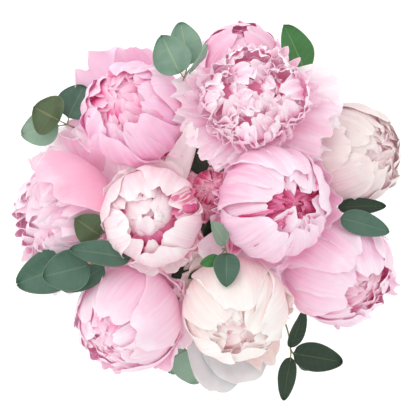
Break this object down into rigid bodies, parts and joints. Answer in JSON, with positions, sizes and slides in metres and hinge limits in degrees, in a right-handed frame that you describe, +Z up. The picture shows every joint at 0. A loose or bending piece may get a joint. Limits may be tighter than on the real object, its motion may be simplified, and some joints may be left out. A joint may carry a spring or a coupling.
{
  "type": "cut flower arrangement in vase",
  "caption": "Round bouquet of double peonies in pinks and whites with eucalyptus sprigs, standing in a plain bellied glazed vase.",
  "frame": {"origin": "centre of the vase's flat foot, where it stands on a table", "axes": "+Z up along the vase's axis; +Y towards the side of the widely open peony, +X towards the two pale peonies that face outwards side by side"},
  "size_m": [0.394, 0.3986, 0.4318],
  "materials": {
    "glaze": "satin off-white glaze",
    "stem": "matt fresh green, faintly ribbed",
    "leaf": "waxy blue-green",
    "blush": "soft matt petal, nearly white with a pink heart",
    "pink": "soft matt petal, rose pink with paler edges",
    "cream": "soft matt petal, cream white"
  },
  "bodies": {
    "root": {"vase": "glaze", "guard_petals_centre_left": "blush", "wrap_petals_centre_left": "blush", "heart_petals_centre_left": "blush", "stem_centre_left": "stem", "guard_petals_centre_right": "pink", "wrap_petals_centre_right": "pink", "heart_petals_centre_right": "pink", "stem_centre_right": "stem", "guard_petals_upper_left": "pink", "wrap_petals_upper_left": "pink", "heart_petals_upper_left": "pink", "stem_upper_left": "stem", "guard_petals_open": "pink", "wrap_petals_open": "pink", "heart_petals_open": "pink", "stem_open": "stem", "guard_petals_top": "pink", "wrap_petals_top": "pink", "heart_petals_top": "pink", "stem_top": "stem", "guard_petals_right": "blush", "wrap_petals_right": "blush", "heart_petals_right": "blush", "stem_right": "stem", "guard_petals_lower_right": "blush", "wrap_petals_lower_right": "blush", "heart_petals_lower_right": "blush", "stem_lower_right": "stem", "guard_petals_bottom": "cream", "wrap_petals_bottom": "cream", "heart_petals_bottom": "cream", "stem_bottom": "stem", "guard_petals_lower_left": "pink", "wrap_petals_lower_left": "pink", "heart_petals_lower_left": "pink", "stem_lower_left": "stem", "guard_petals_left": "pink", "wrap_petals_left": "pink", "heart_petals_left": "pink", "stem_left": "stem", "guard_petals_inner": "pink", "wrap_petals_inner": "pink", "heart_petals_inner": "pink", "stem_inner": "stem", "sprig_top_left": "leaf", "sprig_top_right": "leaf", "sprig_left_upper": "leaf", "sprig_left_middle": "leaf", "sprig_left_lower": "leaf", "sprig_centre": "leaf", "sprig_bottom_right": "leaf", "sprig_bottom": "leaf", "sprig_right": "leaf"}
  },
  "joints": []
}
